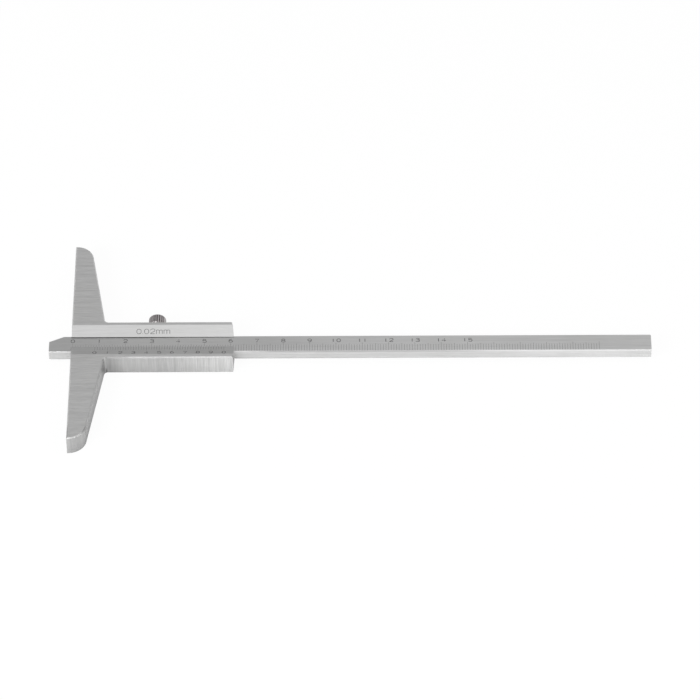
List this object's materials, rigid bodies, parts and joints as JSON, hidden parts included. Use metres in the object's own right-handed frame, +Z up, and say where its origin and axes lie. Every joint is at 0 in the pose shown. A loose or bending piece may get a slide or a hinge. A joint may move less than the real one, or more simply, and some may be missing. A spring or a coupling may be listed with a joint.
{
  "type": "vernier depth gauge",
  "caption": "T-shaped steel depth gauge: a base with tapered arms and a slider, through which a flat graduated beam slides and is held by a knurled screw.",
  "frame": {"origin": "the point of the measuring face on the beam's centre line where it meets the resting plane", "axes": "+X along the beam, away from the measuring tip; +Y along the base, towards the lock screw; +Z up, out of the scale"},
  "size_m": [0.2288, 0.1, 0.0084],
  "materials": {
    "ground_steel": "fine ground, satin",
    "beam_steel": "satin scale face, ground edges",
    "screw_steel": "turned and straight knurled",
    "pad_brass": "turned",
    "spring_strip": "rolled bronze strip",
    "engraving": "matt dark filling of the graduations"
  },
  "bodies": {
    "frame": {"frame": "ground_steel", "leaf_spring": "spring_strip"},
    "beam": {"beam": "beam_steel"},
    "clamp_pad": {"clamp_pad": "pad_brass"},
    "lock_screw": {"lock_screw": "screw_steel"}
  },
  "joints": [
    {"name": "beam_slide", "type": "slide", "parent": "frame", "child": "beam", "axis": [-1, 0, 0], "range_m": [-0.0085, 0.1415]},
    {"name": "pad_travel", "type": "slide", "parent": "frame", "child": "clamp_pad", "axis": [0, 1, 0], "range_m": [-0.00025, 0.0005]},
    {"name": "screw_turn", "type": "hinge", "parent": "clamp_pad", "child": "lock_screw", "pos_m": [0.0323, 0.0125, 0.0042], "axis": [0, 1, 0], "range_deg": [-182, 362]}
  ],
  "couplings": [
    {"joint": "screw_turn", "follows": "pad_travel", "rad_per_m": 12566}
  ]
}
